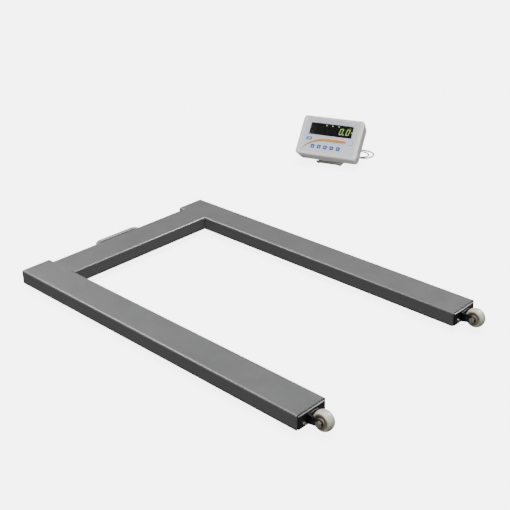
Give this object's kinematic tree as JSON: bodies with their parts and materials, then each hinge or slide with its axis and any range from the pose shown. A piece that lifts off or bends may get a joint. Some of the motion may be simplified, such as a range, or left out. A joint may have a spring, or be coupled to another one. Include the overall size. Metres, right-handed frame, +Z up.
{
  "type": "pallet scale",
  "caption": "U-shaped low steel pallet weighing frame with transport wheels and a carry handle, and a separate tilting display unit on its own bracket.",
  "frame": {"origin": "on the floor, in the middle of the frame's overall length and width, inside the open bay", "axes": "+Z up; +X across the frame towards the side where the display unit stands; +Y along the legs towards the crossbeam and its handle, so the bay opens towards -Y"},
  "size_m": [1.8641, 1.5088, 0.1992],
  "materials": {
    "frame_paint": "satin grey powder coat",
    "underside_paint": "dark grey primer",
    "black_paint": "black powder coat",
    "zinc_steel": "bright zinc plating",
    "handle_paint": "satin light grey powder coat",
    "nickel_steel": "nickel plated, satin",
    "cable_rubber": "matt black jacket",
    "cast_grey": "die cast, satin",
    "circuit_board": "green solder mask",
    "white_nylon": "cream nylon, satin",
    "foot_black": "moulded, matt",
    "bracket_steel": "satin light grey",
    "rubber_black": "matt",
    "housing_grey": "fine textured light grey moulding",
    "display_black": "smoked, glossy",
    "overlay_film": "silver grey film, satin",
    "transformer_iron": "varnished laminations",
    "plug_black": "moulded, matt",
    "key_blue": "blue film",
    "key_white": "white film with a blue edge",
    "connector_metal": "nickel plated barrel"
  },
  "bodies": {
    "platform": {"leg_shell_left": "frame_paint", "leg_shell_right": "frame_paint", "crossbeam_shell": "frame_paint", "leg_base_plate_left": "underside_paint", "leg_base_plate_right": "underside_paint", "crossbeam_base_plate": "underside_paint", "front_end_cap_left": "black_paint", "front_end_cap_right": "black_paint", "rear_end_cap_left": "black_paint", "rear_end_cap_right": "black_paint", "platform_fasteners": "zinc_steel", "carry_handle": "handle_paint", "load_cell_front_left": "nickel_steel", "load_cell_front_right": "nickel_steel", "load_cell_rear_left": "nickel_steel", "load_cell_rear_right": "nickel_steel", "load_cell_mountings": "nickel_steel", "load_cell_leads": "cable_rubber", "junction_box": "cast_grey", "junction_box_lid": "cast_grey", "junction_board": "circuit_board", "platform_socket": "nickel_steel", "wheel_fork_left": "black_paint", "wheel_fork_right": "black_paint", "axle_left": "zinc_steel", "axle_right": "zinc_steel", "axle_sleeves": "zinc_steel", "display_bracket": "bracket_steel", "bracket_feet": "rubber_black", "load_cell_cord": "cable_rubber", "load_cell_cord_coil": "cable_rubber", "load_cell_connector": "connector_metal", "mains_cord": "cable_rubber", "mains_cord_coil": "cable_rubber", "mains_plug": "plug_black"},
    "wheel_left": {"wheel_left": "white_nylon"},
    "wheel_right": {"wheel_right": "white_nylon"},
    "foot_front_left": {"foot_front_left": "foot_black"},
    "foot_front_right": {"foot_front_right": "foot_black"},
    "foot_rear_left": {"foot_rear_left": "foot_black"},
    "foot_rear_right": {"foot_rear_right": "foot_black"},
    "display_housing": {"housing_front_shell": "housing_grey", "housing_rear_shell": "housing_grey", "housing_gasket": "rubber_black", "housing_screws": "zinc_steel", "display_window": "display_black", "control_overlay": "overlay_film", "led_display": "display_black", "keypad_board": "circuit_board", "main_board": "circuit_board", "power_transformer": "transformer_iron", "cable_glands": "plug_black"},
    "key_1": {"key_1": "key_blue"},
    "key_2": {"key_2": "key_blue"},
    "key_3": {"key_3": "key_blue"},
    "key_4": {"key_4": "key_blue"},
    "key_5": {"key_5": "key_blue"},
    "key_power": {"key_power": "key_white"},
    "tilt_knob_left": {"tilt_knob_left": "plug_black"},
    "tilt_knob_right": {"tilt_knob_right": "plug_black"}
  },
  "joints": [
    {"name": "wheel_left_spin", "type": "hinge", "parent": "platform", "child": "wheel_left", "pos_m": [-0.362, -0.675, 0.046], "axis": [1, 0, 0], "continuous": true},
    {"name": "wheel_right_spin", "type": "hinge", "parent": "platform", "child": "wheel_right", "pos_m": [0.362, -0.675, 0.046], "axis": [1, 0, 0], "continuous": true},
    {"name": "foot_front_left_height", "type": "slide", "parent": "platform", "child": "foot_front_left", "axis": [0, 0, 1], "range_m": [-0.005, 0.005]},
    {"name": "foot_front_right_height", "type": "slide", "parent": "platform", "child": "foot_front_right", "axis": [0, 0, 1], "range_m": [-0.005, 0.005]},
    {"name": "foot_rear_left_height", "type": "slide", "parent": "platform", "child": "foot_rear_left", "axis": [0, 0, 1], "range_m": [-0.005, 0.005]},
    {"name": "foot_rear_right_height", "type": "slide", "parent": "platform", "child": "foot_rear_right", "axis": [0, 0, 1], "range_m": [-0.005, 0.005]},
    {"name": "display_tilt", "type": "hinge", "parent": "platform", "child": "display_housing", "pos_m": [1.255, 0.635, 0.068], "axis": [-0.3256, 0.9455, 0], "range_deg": [0, 30]},
    {"name": "key_1_press", "type": "slide", "parent": "display_housing", "child": "key_1", "axis": [0.7027, 0.2419, -0.6691], "range_m": [0, 0.0005], "stiffness_N_per_m": 2000, "springref_m": -0.0002},
    {"name": "key_2_press", "type": "slide", "parent": "display_housing", "child": "key_2", "axis": [0.7027, 0.2419, -0.6691], "range_m": [0, 0.0005], "stiffness_N_per_m": 2000, "springref_m": -0.0002},
    {"name": "key_3_press", "type": "slide", "parent": "display_housing", "child": "key_3", "axis": [0.7027, 0.2419, -0.6691], "range_m": [0, 0.0005], "stiffness_N_per_m": 2000, "springref_m": -0.0002},
    {"name": "key_4_press", "type": "slide", "parent": "display_housing", "child": "key_4", "axis": [0.7027, 0.2419, -0.6691], "range_m": [0, 0.0005], "stiffness_N_per_m": 2000, "springref_m": -0.0002},
    {"name": "key_5_press", "type": "slide", "parent": "display_housing", "child": "key_5", "axis": [0.7027, 0.2419, -0.6691], "range_m": [0, 0.0005], "stiffness_N_per_m": 2000, "springref_m": -0.0002},
    {"name": "key_power_press", "type": "slide", "parent": "display_housing", "child": "key_power", "axis": [0.7027, 0.2419, -0.6691], "range_m": [0, 0.0005], "stiffness_N_per_m": 2000, "springref_m": -0.0002},
    {"name": "tilt_knob_left_turn", "type": "hinge", "parent": "display_housing", "child": "tilt_knob_left", "pos_m": [1.255, 0.635, 0.068], "axis": [0.3256, -0.9455, 0], "continuous": true},
    {"name": "tilt_knob_right_turn", "type": "hinge", "parent": "display_housing", "child": "tilt_knob_right", "pos_m": [1.255, 0.635, 0.068], "axis": [0.3256, -0.9455, 0], "continuous": true}
  ]
}
